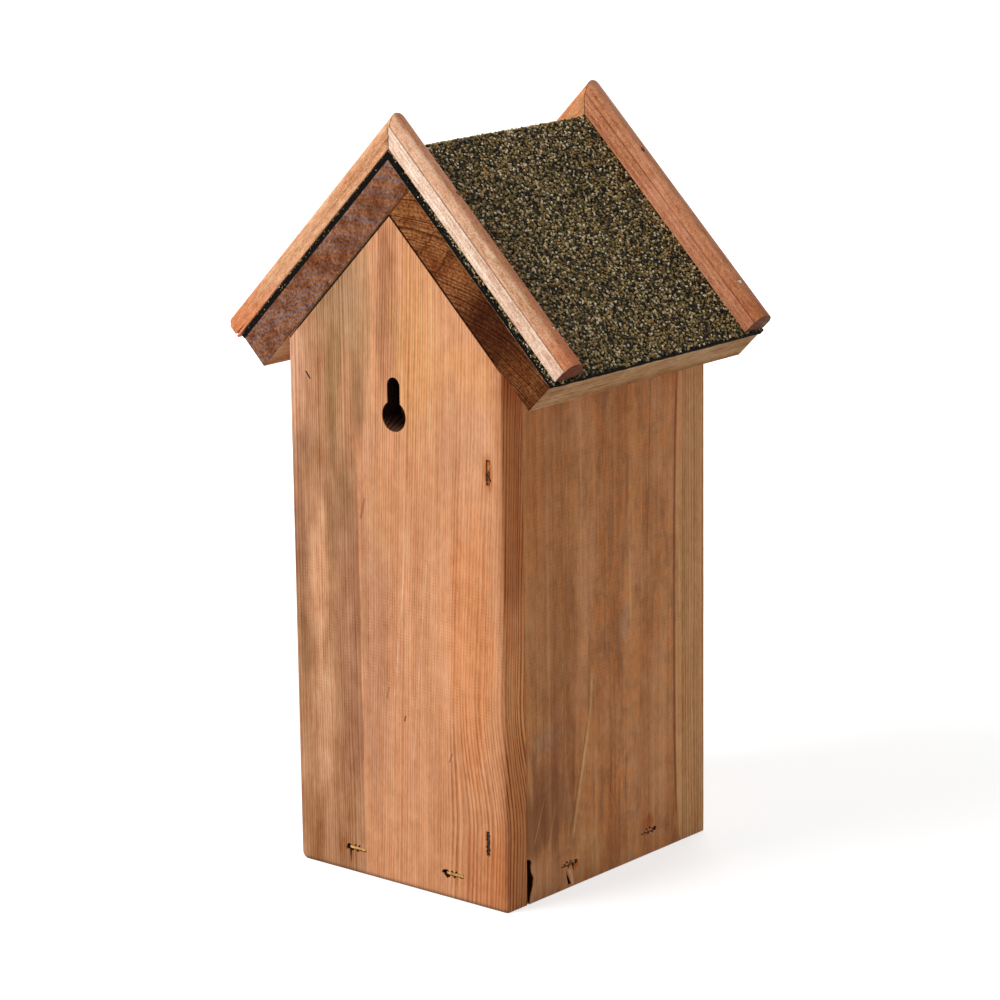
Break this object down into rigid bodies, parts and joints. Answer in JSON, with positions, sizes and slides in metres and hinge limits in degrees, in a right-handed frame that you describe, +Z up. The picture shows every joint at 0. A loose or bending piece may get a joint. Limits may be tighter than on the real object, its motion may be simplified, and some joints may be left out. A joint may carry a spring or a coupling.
{
  "type": "wooden nest box",
  "caption": "Wooden nest box with a pitched felted roof, verge battens, an entrance hole in front and a keyhole hanger in its back wall.",
  "frame": {"origin": "on the ground under the middle of the whole box, its roof included", "axes": "+Z up, -Y towards the front wall with the entrance hole, +Y towards the back wall with the keyhole"},
  "size_m": [0.2186, 0.164, 0.3816],
  "materials": {
    "wall_wood": "rough sawn and weathered orange tan",
    "side_wood": "sawn, brown and blotched",
    "roof_wood": "sawn, dark brown with open end grain",
    "batten_wood": "moulded and bare",
    "felt": "bitumen felt with mineral granules",
    "staple_wire": "coated and tarnished",
    "pin_steel": "tarnished"
  },
  "bodies": {
    "root": {"back_wall": "wall_wood", "front_wall": "wall_wood", "side_wall_left": "side_wood", "side_wall_right": "side_wood", "floor_board": "side_wood", "roof_board_left": "roof_wood", "roof_board_right": "roof_wood", "roof_felt": "felt", "batten_back_left": "batten_wood", "batten_back_right": "batten_wood", "batten_front_left": "batten_wood", "batten_front_right": "batten_wood", "pins_back_left": "pin_steel", "pins_back_right": "pin_steel", "pins_front_left": "pin_steel", "pins_front_right": "pin_steel", "staples_back": "staple_wire", "staples_front": "staple_wire", "staples_side_left": "staple_wire", "staples_side_right": "staple_wire"}
  },
  "joints": []
}
